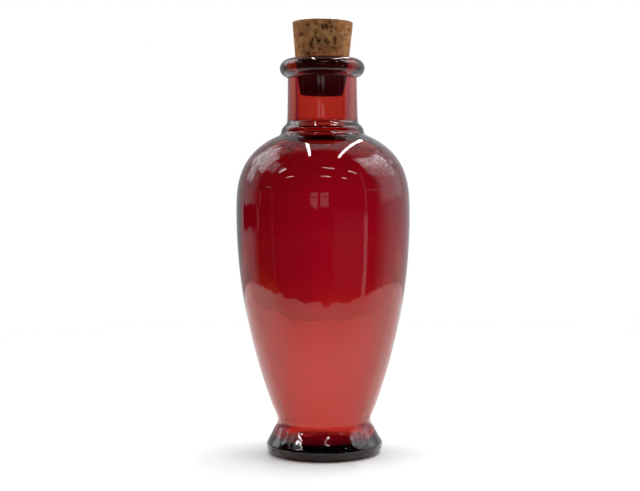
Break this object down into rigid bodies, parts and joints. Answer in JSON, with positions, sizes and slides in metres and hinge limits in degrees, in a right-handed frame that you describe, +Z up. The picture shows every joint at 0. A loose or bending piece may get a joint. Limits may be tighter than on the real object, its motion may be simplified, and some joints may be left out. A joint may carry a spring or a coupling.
{
  "type": "decorative glass bottle",
  "caption": "Amphora-shaped decorative bottle of red glass with a flared foot, a stepped collar, a narrow neck with a rolled lip, and a tapered cork.",
  "frame": {"origin": "centre of the standing ring, on the surface that the bottle stands on", "axes": "+Z up along the bottle's axis; -Y towards the viewer"},
  "size_m": [0.0638, 0.0638, 0.1581],
  "materials": {
    "red_glass": "clear red glass with a fire-polished gloss",
    "natural_cork": "bare natural cork, matt, with dark pores"
  },
  "bodies": {
    "root": {"bottle": "red_glass", "cork": "natural_cork"}
  },
  "joints": []
}
